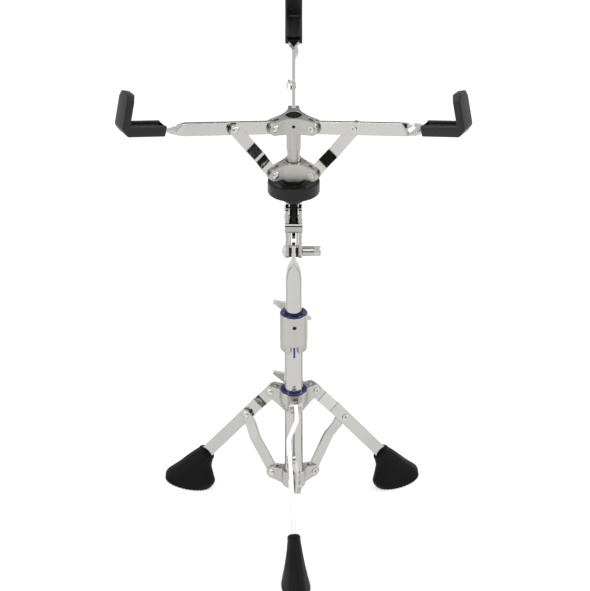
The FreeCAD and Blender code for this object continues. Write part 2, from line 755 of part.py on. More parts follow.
def make_tilt_yoke():
    half_bar = cheek_face + yoke_bar_lip
    corners = [(-half_bar, yoke_bar_bottom, yoke_bar_round), (half_bar, yoke_bar_bottom, yoke_bar_round)]
    corners += [(half_bar, yoke_bar_top, yoke_bar_round), (-half_bar, yoke_bar_top, yoke_bar_round)]
    half_depth = cheek_half_depth + yoke_bar_lip
    side_view = [(-half_depth, yoke_bar_bottom, yoke_bar_crown)]
    side_view += [(half_depth, yoke_bar_bottom, yoke_bar_crown)]
    side_view += [(half_depth, yoke_bar_top, yoke_bar_crown)]
    side_view += [(-half_depth, yoke_bar_top, yoke_bar_crown)]
    yoke = slab(corners, -half_depth, half_depth)
    yoke = yoke.common(turned(slab(side_view, -half_bar, half_bar), z_axis, 90))
    ear_gap = max(rod_radius + slide_gap, cheek_gap)
    for side in (-1, 1):
        plate = rod_along(x_axis, cheek_half_depth, cheek_gap, cheek_face, z=tilt_height)
        plate = plate.fuse(
            block(
                vector(cheek_gap, -cheek_half_depth, tilt_height),
                vector(cheek_face, cheek_half_depth, yoke_bar_bottom + yoke_bar_crown),
            )
        )
        ear_low = vector(ear_gap, -yoke_ear_half_depth, yoke_bar_top - yoke_bar_crown)
        ear_high = vector(ear_gap + cheek_thickness, yoke_ear_half_depth, yoke_top - yoke_ear_half_depth)
        ear = block(ear_low, ear_high)
        crown = rod_along(x_axis, yoke_ear_half_depth, ear_low.x, ear_high.x, z=ear_high.z)
        turn = 0 if side > 0 else 180
        yoke = yoke.fuse([turned(piece, z_axis, turn) for piece in (plate, ear, crown)])
    liner_foot = tilt_height + tilt_washer_radius + slide_gap
    for side in (-1, 1):
        low = vector(liner_gap, -liner_half_depth, liner_foot)
        high = vector(liner_gap + liner_thickness, liner_half_depth, yoke_bar_bottom + yoke_bar_crown)
        yoke = yoke.fuse(turned(block(low, high), z_axis, 90 - side * 90))
    yoke = yoke.removeSplitter()
    reach = half_bar + overrun
    yoke = yoke.cut(rod_along(x_axis, tilt_bolt_radius + pin_gap, -reach, reach, z=tilt_height))
    yoke = yoke.cut(rod_along(z_axis, rod_radius + pin_gap, yoke_bar_bottom - overrun, yoke_top))
    for height in yoke_pin_heights:
        yoke = yoke.cut(rod_along(x_axis, yoke_pin_radius + pin_gap, -reach, reach, z=height))
    return yoke


def cross_bolt(radius, length, crown_radius, crown_height, seat, height):
    # Bolt along X with its domed head at -X, under whose rim lies the face at -seat.
    stem = [(0, seat - length), (radius, seat - length), (radius, seat)]
    pin = domed_pin(stem, crown_radius, crown_height, seat)
    return moved(turned(pin, y_axis, -90), 0, 0, height)


def make_tilt_bolt():
    length = 2 * cheek_face + slide_gap + handle_bolt_depth
    return cross_bolt(tilt_bolt_radius, length, tilt_head_radius, tilt_head_height, cheek_face, tilt_height)


def make_yoke_pins():
    face = max(rod_radius + slide_gap, cheek_gap) + cheek_thickness
    sizes = (yoke_pin_radius, 2 * face, yoke_pin_head_radius, yoke_pin_head_height, face)
    return Part.makeCompound([cross_bolt(*sizes, height) for height in yoke_pin_heights])


def make_tilt_washers():
    low = flat_thickness / 2 + slide_gap
    disc = rod_along(x_axis, tilt_washer_radius, low, cheek_gap, z=tilt_height)
    bolt = tilt_bolt_radius + pin_gap
    disc = disc.cut(rod_along(x_axis, bolt, low - overrun, cheek_gap + overrun, z=tilt_height))
    return Part.makeCompound([disc, turned(disc, z_axis, 180)])


def make_tilt_handle():
    seat = cheek_face + slide_gap
    end = handle_length
    corners = [(0, 0, 0), (handle_radius, 0, edge_round), (handle_radius, end, wing_tip_round), (0, end, 0)]
    base = end - wing_tip_round - handle_thickness
    wings = wing_plate(handle_span, handle_radius - edge_round, handle_thickness, handle_radius, base)
    knob = spun(corners).fuse(turned(wings, z_axis, handle_turn)).removeSplitter()
    knob = knob.cut(rod_along(z_axis, tilt_bolt_radius + pin_gap, -overrun, handle_bolt_depth + pin_gap))
    return moved(turned(knob, y_axis, 90), seat, 0, tilt_height)


def make_rod():
    top = upper_hub_height + upper_boss_rise - cap_recess - cap_depth - pin_gap
    rod = rod_along(z_axis, rod_radius, yoke_bar_bottom, top)
    for height in yoke_pin_heights:
        rod = rod.cut(rod_along(x_axis, yoke_pin_radius + pin_gap, -rod_diameter, rod_diameter, z=height))
    return rod


def make_knob():
    bore = rod_radius + slide_gap
    dish = knob_rim_top - knob_dish_depth
    corners = [(bore, knob_bottom, 0), (knob_cone_foot_radius, knob_bottom, knob_cone_round)]
    corners += [(knob_cone_top_radius, knob_rim_bottom, knob_rim_round)]
    corners += [(knob_radius, knob_rim_bottom, edge_round), (knob_radius, knob_rim_top, knob_rim_round)]
    corners += [(knob_radius - knob_dish_wall, knob_rim_top, edge_round)]
    corners += [(knob_dish_inner_radius, dish, edge_round), (knob_boss_radius, dish, edge_round)]
    corners += [(knob_boss_radius, knob_top, edge_round), (bore, knob_top, 0)]
    return spun(corners)


def make_lower_hub():
    top = [(0, lower_hub_rise), (lower_hub_core_radius, lower_hub_rise)]
    bottom = [(lower_hub_waist_radius, -lower_hub_waist_drop), (lower_hub_core_radius, -lower_hub_drop)]
    bottom.append((0, -lower_hub_drop))
    slot_half = strut_thickness / 2 + slide_gap
    end = strut_width / 2
    body, slot, hole = forked_hub(
        basket_radius, lower_lobe, strut_ear_face, slot_half, end, lower_web_reach, top, bottom
    )
    body = cut_forks(body, slot, hole)
    seat = lower_hub_rise - lower_hub_counterbore
    body = body.cut(rod_along(z_axis, guide_radius + pin_gap, -lower_hub_drop - overrun, seat + pin_gap))
    counterbore = guide_radius + slide_gap + upper_barrel_wall + slide_gap
    body = body.cut(rod_along(z_axis, counterbore, seat, lower_hub_rise + overrun))
    return moved(turned(body, z_axis, first_arm_turn), 0, 0, lower_hub_height)


def make_guide_tube():
    bottom = lower_hub_height - lower_hub_drop
    return ring(guide_radius, rod_radius + slide_gap, bottom, guide_tube_top)


def make_upper_hub():
    top = [(0, upper_boss_rise), (upper_boss_radius, upper_boss_rise)]
    bottom = [(upper_boss_radius, -upper_hub_drop), (0, -upper_hub_drop)]
    slot_half = arm_thickness / 2 + slide_gap
    body, slot, hole = forked_hub(
        basket_radius, upper_lobe, arm_ear_face, slot_half, arm_width / 2, upper_web_reach, top, bottom
    )
    bore = guide_radius + slide_gap
    barrel_bottom = -upper_hub_drop - upper_barrel_length
    barrel = rod_along(z_axis, bore + upper_barrel_wall, barrel_bottom, 0)
    body = cut_forks(body.fuse(barrel).removeSplitter(), slot, hole)
    bore_top = guide_tube_top + basket_travel + overrun - upper_hub_height
    body = body.cut(rod_along(z_axis, bore, barrel_bottom - overrun, bore_top))
    body = body.cut(rod_along(z_axis, rod_radius + pin_gap, bore_top - overrun, upper_boss_rise + overrun))
    cap_floor = upper_boss_rise - cap_recess - cap_depth
    body = body.cut(rod_along(z_axis, cap_radius + pin_gap, cap_floor, upper_boss_rise + overrun))
    screw = rod_along(x_axis, hub_screw_radius + pin_gap, -basket_radius, 0)
    return moved(turned(body.cut(screw), z_axis, first_arm_turn), 0, 0, upper_hub_height)


def make_hub_cap():
    top = upper_hub_height + upper_boss_rise - cap_recess
    corners = [(0, top - cap_depth, 0), (cap_radius, top - cap_depth, 0)]
    corners += [(cap_radius, top, edge_round), (0, top, 0)]
    return spun(corners)


def make_hub_screw():
    wall = upper_web_reach / math.cos(math.radians(spread / 2))
    face = wall - (wall * math.sin(math.radians(spread / 2)) - arm_ear_face)
    screw = rod_along(x_axis, hub_screw_radius, -face + hub_screw_recess, -rod_radius - pin_gap)
    return moved(turned(screw, z_axis, first_arm_turn), 0, 0, upper_hub_height)


def twist_section(share):
    # Rectangle of the arm part way through its quarter turn.
    width = arm_width + (tongue_width - arm_width) * share
    half = arm_thickness / 2
    x = twist_start + twist_length * share
    corners = [(-half, -width / 2), (half, -width / 2), (half, width / 2), (-half, width / 2)]
    points = [vector(x, y, z) for y, z in corners]
    return turned(Part.makePolygon(points + points[:1]), x_axis, -90 * share)


def tongue(gap):
    # Bent end of the arm inside the claw, grown by a gap all round.
    half = arm_thickness / 2
    outer = arm_length - claw_tongue_cover
    inner = outer - arm_thickness
    corners = [(claw_start, -half - gap, 0), (outer + gap, -half - gap, tongue_bend + arm_thickness)]
    corners += [(outer + gap, tongue_rise + gap, 0), (inner - gap, tongue_rise + gap, 0)]
    corners += [(inner - gap, half + gap, tongue_bend), (claw_start, half + gap, 0)]
    return slab(corners, -tongue_width / 2 - gap, tongue_width / 2 + gap)


def make_arm():
    half = arm_thickness / 2
    bar = round_ended(twist_start, arm_width / 2, -half, half, True)
    twist = Part.makeLoft([twist_section(share) for share in twist_shares], True, False)
    arm = bar.fuse([twist, tongue(0)]).removeSplitter()
    for spot in (0, strut_reach):
        arm = arm.cut(rivet_hole(pin_gap, arm_width, spot))
    return raised(arm, arm_rise, basket_radius, upper_hub_height)


def make_claw():
    outer = arm_length
    inner = outer - claw_wall
    corners = [(claw_start, -claw_floor, edge_round), (outer - claw_heel, -claw_floor, edge_round)]
    corners += [(outer, claw_heel - claw_floor, edge_round), (outer, claw_height, edge_round)]
    corners += [(inner + claw_nose_depth, claw_height, edge_round)]
    corners += [(inner, claw_height - claw_nose_height, edge_round)]
    corners += [(inner, claw_lip, edge_round), (claw_start, claw_lip, edge_round)]
    claw = slab(corners, -claw_half_width, claw_half_width)
    end_view = [(-claw_half_width, -claw_floor, 0), (claw_half_width, -claw_floor, 0)]
    end_view += [(claw_half_width, claw_height, claw_top_round)]
    end_view += [(-claw_half_width, claw_height, claw_top_round)]
    claw = claw.common(turned(slab(end_view, -outer - overrun, overrun), z_axis, 90))
    half = claw_groove_half_width
    tray = block(
        vector(claw_start - overrun, -half, claw_groove_floor), vector(inner, half, claw_lip + overrun)
    )
    channel = block(
        vector(inner - overrun, -half, claw_groove_floor),
        vector(inner + claw_groove_depth, half, claw_height - claw_nose_height),
    )
    claw = claw.cut(tray).cut(channel).cut(tongue(rubber_gap))
    return raised(claw, arm_rise, basket_radius, upper_hub_height)


def make_strut():
    top = strut_side + strut_overstep
    path = [(-strut_width, 0), (strut_crank_start, 0), (strut_crank_top, top)]
    path += [(strut_crank_end, strut_side), (strut_length + strut_width, strut_side)]
    bar = strip(path, strut_thickness, strut_width)
    reach = top + strut_thickness
    bar = bar.common(round_ended(strut_length, strut_width / 2, -reach, reach))
    bar = bar.cut(slack_hole(-strut_slack_along, strut_slack_across, reach))
    bar = bar.cut(rivet_hole(pin_gap, reach, strut_length))
    return raised(bar, strut_rise, basket_radius, lower_hub_height)


def make_arm_rivet():
    pin = rivet(-arm_thickness / 2, strut_side + strut_thickness / 2)
    return moved(pin, strut_pivot_radius, 0, strut_pivot_height)


def make_arm_washer():
    low = arm_thickness / 2
    return moved(washer(low, low + arm_washer_thickness), strut_pivot_radius, 0, strut_pivot_height)


def make_height_wing_bolt():
    tip = upper_radius + slide_gap + height_bush_wall
    bolt = wing_bolt(tip, sleeve_radius + sleeve_boss_length + slide_gap)
    return moved(turned(bolt, z_axis, sleeve_turn), 0, 0, sleeve_top - sleeve_hole_drop)


def make_leg_wing_bolt():
    tip = lower_radius + slide_gap + bush_wall + pin_gap
    bolt = wing_bolt(tip, leg_barrel_radius + leg_boss_length + slide_gap)
    return moved(turned(bolt, z_axis, first_leg_turn + 90), 0, 0, leg_hub_height + leg_boss_rise)


single_pieces = {
    "lower_tube": make_lower_tube,
    "height_sleeve": make_height_sleeve,
    "height_bush": make_height_bush,
    "lower_collar": make_lower_collar,
    "leg_hub": make_leg_hub,
    "leg_hub_bush": make_leg_hub_bush,
    "upper_tube": make_upper_tube,
    "tilt_yoke": make_tilt_yoke,
    "tilt_bolt": make_tilt_bolt,
    "tilt_washers": make_tilt_washers,
    "tilt_handle": make_tilt_handle,
    "yoke_pins": make_yoke_pins,
    "basket_rod": make_rod,
    "basket_knob": make_knob,
    "lower_hub": make_lower_hub,
    "guide_tube": make_guide_tube,
    "upper_hub": make_upper_hub,
    "hub_cap": make_hub_cap,
    "hub_screw": make_hub_screw,
    "height_wing_bolt": make_height_wing_bolt,
    "leg_wing_bolt": make_leg_wing_bolt,
}

rivet_sets = {
    "collar_rivets": (brace_ear_face, collar_radius, first_leg_turn, collar_height),
    "leg_hub_rivets": (leg_ear_face, leg_hub_radius, first_leg_turn, leg_hub_height),
    "lower_hub_rivets": (strut_ear_face, basket_radius, first_arm_turn, lower_hub_height),
    "upper_hub_rivets": (arm_ear_face, basket_radius, first_arm_turn, upper_hub_height),
}

repeated_pieces = {
    "leg": (make_leg, first_leg_turn),
    "foot": (make_foot, first_leg_turn),
    "brace": (make_brace, first_leg_turn),
    "leg_rivet": (make_leg_rivet, first_leg_turn),
    "leg_washer": (make_leg_washer, first_leg_turn),
    "arm": (make_arm, first_arm_turn),
    "claw": (make_claw, first_arm_turn),
    "strut": (make_strut, first_arm_turn),
    "arm_rivet": (make_arm_rivet, first_arm_turn),
    "arm_washer": (make_arm_washer, first_arm_turn),
}

os.makedirs("parts", exist_ok=True)
for node, make in single_pieces.items():
    make().exportStep(f"parts/{node}.step")
for node, sizes in rivet_sets.items():
    hub_rivets(*sizes).exportStep(f"parts/{node}.step")
for node, (make, first) in repeated_pieces.items():
    for number, piece in enumerate(around(make(), first), 1):
        piece.exportStep(f"parts/{node}_{number}.step")
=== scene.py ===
import bmesh
import bpy
import json
import math
import numpy as np
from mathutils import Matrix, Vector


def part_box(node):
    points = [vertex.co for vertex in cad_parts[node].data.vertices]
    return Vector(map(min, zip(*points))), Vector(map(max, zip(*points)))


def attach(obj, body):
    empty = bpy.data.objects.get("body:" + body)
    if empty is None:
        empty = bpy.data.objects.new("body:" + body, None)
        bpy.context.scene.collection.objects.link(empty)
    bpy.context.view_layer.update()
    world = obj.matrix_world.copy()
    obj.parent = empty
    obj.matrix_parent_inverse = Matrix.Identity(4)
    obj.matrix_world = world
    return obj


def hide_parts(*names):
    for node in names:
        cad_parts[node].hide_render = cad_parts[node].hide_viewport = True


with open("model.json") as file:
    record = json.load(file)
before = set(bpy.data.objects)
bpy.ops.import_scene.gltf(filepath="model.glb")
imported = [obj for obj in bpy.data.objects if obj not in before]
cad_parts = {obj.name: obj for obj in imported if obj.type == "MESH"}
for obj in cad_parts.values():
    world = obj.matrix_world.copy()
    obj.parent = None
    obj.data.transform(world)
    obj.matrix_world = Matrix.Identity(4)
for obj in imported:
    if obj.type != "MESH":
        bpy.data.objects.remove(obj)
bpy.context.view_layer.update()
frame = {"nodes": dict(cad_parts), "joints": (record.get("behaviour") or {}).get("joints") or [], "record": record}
nodes = frame["nodes"]
jointPlace = {joint["name"]: joint.get("pos_m") for joint in frame["joints"]}
mm = 0.001
weldGap = 0.01 * mm  # points of a skin closer than this become one
sharpAngle = 48  # degrees between faces from which an edge stays sharp
print("frame loaded:", len(nodes), "nodes")


def ease(share):
    # Smooth step: three times the share squared, less twice its cube.
    share = np.clip(share, 0, 1)
    return share * share * (3 - 2 * share)


def gridQuads(rows, columns):
    # Each row joins the next, and the last column joins the first.
    row = np.arange(rows - 1)[:, None] * columns
    here = np.arange(columns)[None, :]
    after = (here + 1) % columns
    corners = [row + here, row + after, row + columns + after, row + columns + here]
    return np.stack(corners, -1).reshape(-1, 4)


def makePiece(name, grid, finish, body, node):
    # A closed skin: the rows of the grid are loops, and one face closes each end.
    rows, columns = grid.shape[:2]
    faces = gridQuads(rows, columns).tolist()
    faces += [np.arange(columns).tolist(), np.arange((rows - 1) * columns, rows * columns).tolist()]
    mesh = bpy.data.meshes.new(name)
    mesh.from_pydata((grid.reshape(-1, 3) * mm).tolist(), [], faces)
    skin = bmesh.new()
    skin.from_mesh(mesh)
    bmesh.ops.remove_doubles(skin, verts=skin.verts, dist=weldGap)
    bmesh.ops.recalc_face_normals(skin, faces=skin.faces)
    skin.to_mesh(mesh)
    skin.free()
    mesh.polygons.foreach_set("use_smooth", np.ones(len(mesh.polygons), bool))
    mesh.set_sharp_from_angle(angle=math.radians(sharpAngle))
    mesh.materials.append(finish)
    piece = bpy.data.objects.new(name, mesh)
    bpy.context.scene.collection.objects.link(piece)
    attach(piece, body)
    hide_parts(node)


def swung(radius, side, height, degrees):
    # Turns points of a vertical plane about the post: radius outwards, side to the left, height up.
    turn = math.radians(degrees)
    x = radius * math.cos(turn) - side * math.sin(turn)
    y = radius * math.sin(turn) + side * math.cos(turn)
    return np.stack(np.broadcast_arrays(x, y, height), -1)


# Shared effects of the finishes

def newGroup(name, inputs, outputs):
    group = bpy.data.node_groups.new(name, "ShaderNodeTree")
    for label, kind, value in inputs:
        socket = group.interface.new_socket(label, in_out="INPUT", socket_type=kind)
        socket.default_value = value
    for label, kind in outputs:
        group.interface.new_socket(label, in_out="OUTPUT", socket_type=kind)
    return group, group.nodes.new("NodeGroupInput"), group.nodes.new("NodeGroupOutput")


def addNode(tree, kind, links=None, **values):
    node = tree.nodes.new(kind)
    for key, value in values.items():
        setattr(node, key, value)
    for key, source in (links or {}).items():
        if hasattr(source, "is_output"):
            tree.links.new(source, node.inputs[key])
        else:
            node.inputs[key].default_value = source
    return node


def buildGrainGroup():
    # Fine grain and broad smudges, both from noise on the object's own coordinates.
    group, given, out = newGroup(
        "surfaceGrain",
        [("Grain Scale", "NodeSocketFloat", 900.0), ("Smudge Scale", "NodeSocketFloat", 30.0)],
        [("Grain", "NodeSocketFloat"), ("Smudge", "NodeSocketFloat")],
    )
    place = addNode(group, "ShaderNodeTexCoord").outputs["Object"]
    fine = addNode(group, "ShaderNodeTexNoise", {
        "Vector": place, "Scale": given.outputs["Grain Scale"], "Detail": 2.0, "Roughness": 0.6})
    broad = addNode(group, "ShaderNodeTexNoise", {
        "Vector": place, "Scale": given.outputs["Smudge Scale"], "Detail": 3.0, "Roughness": 0.55})
    group.links.new(fine.outputs["Fac"], out.inputs["Grain"])
    group.links.new(broad.outputs["Fac"], out.inputs["Smudge"])
    return group


def buildEdgeGroup():
    # Rounded normal at sharp edges, and a mask that is one where it leaves the true normal.
    group, given, out = newGroup(
        "brokenEdge",
        [("Radius", "NodeSocketFloat", 0.0005)],
        [("Normal", "NodeSocketVector"), ("Edge", "NodeSocketFloat")],
    )
    soft = addNode(group, "ShaderNodeBevel", {"Radius": given.outputs["Radius"]}, samples=4)
    true = addNode(group, "ShaderNodeNewGeometry")
    match = addNode(group, "ShaderNodeVectorMath", operation="DOT_PRODUCT")
    group.links.new(soft.outputs["Normal"], match.inputs[0])
    group.links.new(true.outputs["Normal"], match.inputs[1])
    edge = addNode(group, "ShaderNodeMapRange", {
        "Value": match.outputs["Value"], "From Min": 0.99, "From Max": 0.75, "To Min": 0.0, "To Max": 1.0})
    group.links.new(soft.outputs["Normal"], out.inputs["Normal"])
    group.links.new(edge.outputs["Result"], out.inputs["Edge"])
    return group


grainGroup = buildGrainGroup()
edgeGroup = buildEdgeGroup()

finishes = {
    "chrome": {
        "dark": (0.455, 0.447, 0.425), "light": (0.525, 0.517, 0.493), "edgeWearAndSheen": (0.485, 0.477, 0.455),
        "metal": 1.0, "smooth": 0.06, "dull": 0.13, "shine": 0.5,
        "grain": 1400, "smudge": 22, "bump": 0.00001, "edge": 0.0009,
    },
    # painted shade: a darker copy of the chrome for the tilt yoke
    "shadedYokeChrome": {
        "dark": (0.34, 0.335, 0.32), "light": (0.4, 0.395, 0.375), "edgeWearAndSheen": (0.42, 0.415, 0.4),
        "metal": 1.0, "smooth": 0.08, "dull": 0.15, "shine": 0.5,
        "grain": 1400, "smudge": 22, "bump": 0.00001, "edge": 0.0006,
    },
    "casting": {
        "dark": (0.435, 0.425, 0.4), "light": (0.505, 0.495, 0.465), "edgeWearAndSheen": (0.47, 0.465, 0.445),
        "metal": 1.0, "smooth": 0.3, "dull": 0.42, "shine": 0.5,
        "grain": 2200, "smudge": 40, "bump": 0.00003, "edge": 0.0009,
    },
    "wing_metal": {
        "dark": (0.66, 0.655, 0.64), "light": (0.74, 0.735, 0.72), "edgeWearAndSheen": (0.7, 0.7, 0.69),
        "metal": 0.5, "smooth": 0.34, "dull": 0.46, "shine": 0.5,
        "grain": 2200, "smudge": 40, "bump": 0.00003, "edge": 0.0009,
    },
    "rivet": {
        "dark": (0.56, 0.545, 0.5), "light": (0.66, 0.645, 0.6), "edgeWearAndSheen": (0.6, 0.58, 0.54),
        "metal": 1.0, "smooth": 0.28, "dull": 0.36, "shine": 0.5,
        "grain": 2600, "smudge": 90, "bump": 0.00001, "edge": 0.0004,
    },
    # painted highlight: the bright lilac edge colour of the blue plastic
    "blue_plastic": {
        "dark": (0.006, 0.01, 0.07), "light": (0.01, 0.014, 0.11), "edgeWearAndSheen": (0.045, 0.04, 0.42),
        "metal": 0.0, "smooth": 0.15, "dull": 0.25, "shine": 0.5,
        "grain": 3000, "smudge": 60, "bump": 0.00002, "edge": 0.0006,
    },
    # painted light: a brighter copy of the bush's blue for its lit key
    "litKeyBlue": {
        "dark": (0.03, 0.012, 0.36), "light": (0.038, 0.016, 0.46), "edgeWearAndSheen": (0.05, 0.03, 0.5),
        "metal": 0.0, "smooth": 0.25, "dull": 0.35, "shine": 0.4,
        "grain": 3000, "smudge": 60, "bump": 0.00002, "edge": 0.0004,
    },
    "black_plastic": {
        "dark": (0.008, 0.008, 0.0075), "light": (0.012, 0.012, 0.0115), "edgeWearAndSheen": (0.03, 0.03, 0.029),
        "metal": 0.0, "smooth": 0.3, "dull": 0.46, "shine": 0.25,
        "grain": 2400, "smudge": 50, "bump": 0.00003, "edge": 0.0006,
    },
    "black_steel": {
        "dark": (0.01, 0.01, 0.01), "light": (0.02, 0.02, 0.02), "edgeWearAndSheen": (0.1, 0.1, 0.1),
        "metal": 0.6, "smooth": 0.25, "dull": 0.4, "shine": 0.3,
        "grain": 2600, "smudge": 70, "bump": 0.00002, "edge": 0.0002,
    },
    "rubber": {
        "dark": (0.003, 0.003, 0.0029), "light": (0.005, 0.005, 0.0047), "edgeWearAndSheen": (0.012, 0.012, 0.0115),
        "metal": 0.0, "smooth": 0.45, "dull": 0.62, "shine": 0.11,
        "grain": 1900, "smudge": 45, "bump": 0.00006, "edge": 0.0006,
    },
    "clawRubber": {
        "dark": (0.01, 0.01, 0.0095), "light": (0.016, 0.016, 0.0155), "edgeWearAndSheen": (0.03, 0.03, 0.029),
        "metal": 0.0, "smooth": 0.34, "dull": 0.44, "shine": 0.3,
        "grain": 1900, "smudge": 45, "bump": 0.00005, "edge": 0.0006,
    },
}


def blendColour(tree, mask, low, high):
    first, second, result = 6, 7, 2  # the mix node's sockets for colours
    mix = addNode(tree, "ShaderNodeMix", data_type="RGBA")
    tree.links.new(mask, mix.inputs["Factor"])
    for index, colour in ((first, low), (second, high)):
        if hasattr(colour, "is_output"):
            tree.links.new(colour, mix.inputs[index])
        else:
            mix.inputs[index].default_value = (*colour, 1)
    return mix.outputs[result]


def buildFinish(slot, look):
    finish = bpy.data.materials.new(slot)
    finish.use_nodes = True
    tree = finish.node_tree
    shader = tree.nodes["Principled BSDF"]
    shader.inputs["Metallic"].default_value = look["metal"]
    shader.inputs["Specular IOR Level"].default_value = look["shine"]
    grain = addNode(tree, "ShaderNodeGroup", node_tree=grainGroup)
    grain.inputs["Grain Scale"].default_value = look["grain"]
    grain.inputs["Smudge Scale"].default_value = look["smudge"]
    edge = addNode(tree, "ShaderNodeGroup", node_tree=edgeGroup)
    edge.inputs["Radius"].default_value = look["edge"]
    body = blendColour(tree, grain.outputs["Smudge"], look["dark"], look["light"])
    # Paler colour at the sharp edges: partly real wear, partly a painted highlight, strongest on the blue
    # plastics.
    edgeWearAndSheen = blendColour(tree, edge.outputs["Edge"], body, look["edgeWearAndSheen"])
    tree.links.new(edgeWearAndSheen, shader.inputs["Base Color"])
    gloss = addNode(tree, "ShaderNodeMapRange", {
        "Value": grain.outputs["Smudge"], "From Min": 0.3, "From Max": 0.7,
        "To Min": look["smooth"], "To Max": look["dull"]})
    tree.links.new(gloss.outputs["Result"], shader.inputs["Roughness"])
    bump = addNode(tree, "ShaderNodeBump", {
        "Strength": 1.0, "Distance": look["bump"], "Height": grain.outputs["Grain"],
        "Normal": edge.outputs["Normal"]})
    tree.links.new(bump.outputs["Normal"], shader.inputs["Normal"])
    return finish


materials = {slot: buildFinish(slot, look) for slot, look in finishes.items()}
finishSwapsAndShade = {"tilt_yoke": "shadedYokeChrome", "guide_tube": "casting", "tilt_handle": "casting",
          "hub_cap": "rubber"}  # pieces given another finish than their slot; the yoke's darker chrome is painted shade
for row in frame["record"]["subparts"]:
    skin = nodes[row["node"]].data
    skin.materials.clear()
    skin.materials.append(materials[finishSwapsAndShade.get(row["node"], row["material_slot"])])


def paintKey():
    # The bush's faces below the middle of the sleeve are its key, given a brighter copy of the ring's blue as
    # painted light.
    bush = nodes["height_bush"]
    bush.data.materials.append(materials["litKeyBlue"])
    centres = np.empty(len(bush.data.polygons) * 3)
    bush.data.polygons.foreach_get("center", centres)
    stood = np.array(bush.matrix_world)
    height = centres.reshape(-1, 3) @ stood[2, :3] + stood[2, 3]
    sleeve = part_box("height_sleeve")
    isKey = height < (sleeve[0].z + sleeve[1].z) / 2
    bush.data.polygons.foreach_set("material_index", isKey.astype(np.int32))


paintKey()
print("finishes:", len(materials))

# Rubber claws at the arm ends

claw = {
    "turns": (90, 210, 330), "rise": 11.8, "start": 140.5, "length": 54.5, "halfWidth": 10.1,
    "floor": -4.3, "lip": 7.8, "wall": 9.4, "height": 43.3, "heel": 8.4, "bend": 6,
    "noseHeight": 7.5, "noseOut": 0.6, "topRise": 1.5, "topDrop": 6.5, "topInset": 3.6,
    "grooveHalf": 6.2, "grooveFloor": 3.3, "channel": 1.2, "edge": 1.3, "grooveEdge": 0.7,
    "step": 0.6, "stepBack": 0.4,  # the channel's end below the nose
    "knots": (0, 0.36, 0.45, 0.55, 0.8, 0.82, 1.0),  # shares of the rows at the corners of the L
    "rows": 150, "endRows": 5, "arc": 5, "soften": 7, "lipSoften": 3,
}


def softened(line, window):
    # Running mean along the line, its ends held, which rounds the corners.
    reach = window // 2
    padded = np.concatenate([np.repeat(line[:1], reach, 0), line, np.repeat(line[-1:], reach, 0)])
    weights = np.ones(window) / window
    return np.stack([np.convolve(padded[:, k], weights, "valid") for k in range(line.shape[1])], -1)


def clawLines(size):
    # Outside, lip and groove lines of the L, as (along the arm, above it), on shared knots.
    start, end = size["start"] + size["edge"], size["start"] + size["length"]
    inner, top = end - size["wall"], size["height"] - size["edge"]
    nose = size["height"] - size["noseHeight"]
    low, lip, groove = size["floor"], size["lip"], size["grooveFloor"]
    back = inner + size["channel"]
    step, bend = size["step"], inner - size["bend"]
    under, tip = (inner + step * size["stepBack"], nose + step), (inner - size["noseOut"], top)
    outside = [(start, low), (bend, low), (end - size["heel"], low), (end, size["heel"] + low),
               (end, nose), (end, nose + step), (end, top + size["topRise"])]
    lips = [(start, lip), (bend, lip), (inner, lip), (inner, lip), (inner, nose), under, tip]
    floor = [(start, groove), (bend, groove), (back, groove), (back, groove), (back, nose), under, tip]
    share = np.linspace(0, 1, size["rows"])
    lines = []
    for points, window in ((outside, size["soften"]), (lips, size["lipSoften"]), (floor, size["lipSoften"])):
        points = np.array(points, float)
        line = np.stack([np.interp(share, size["knots"], points[:, k]) for k in (0, 1)], -1)
        lines.append(softened(line, window))
    return lines


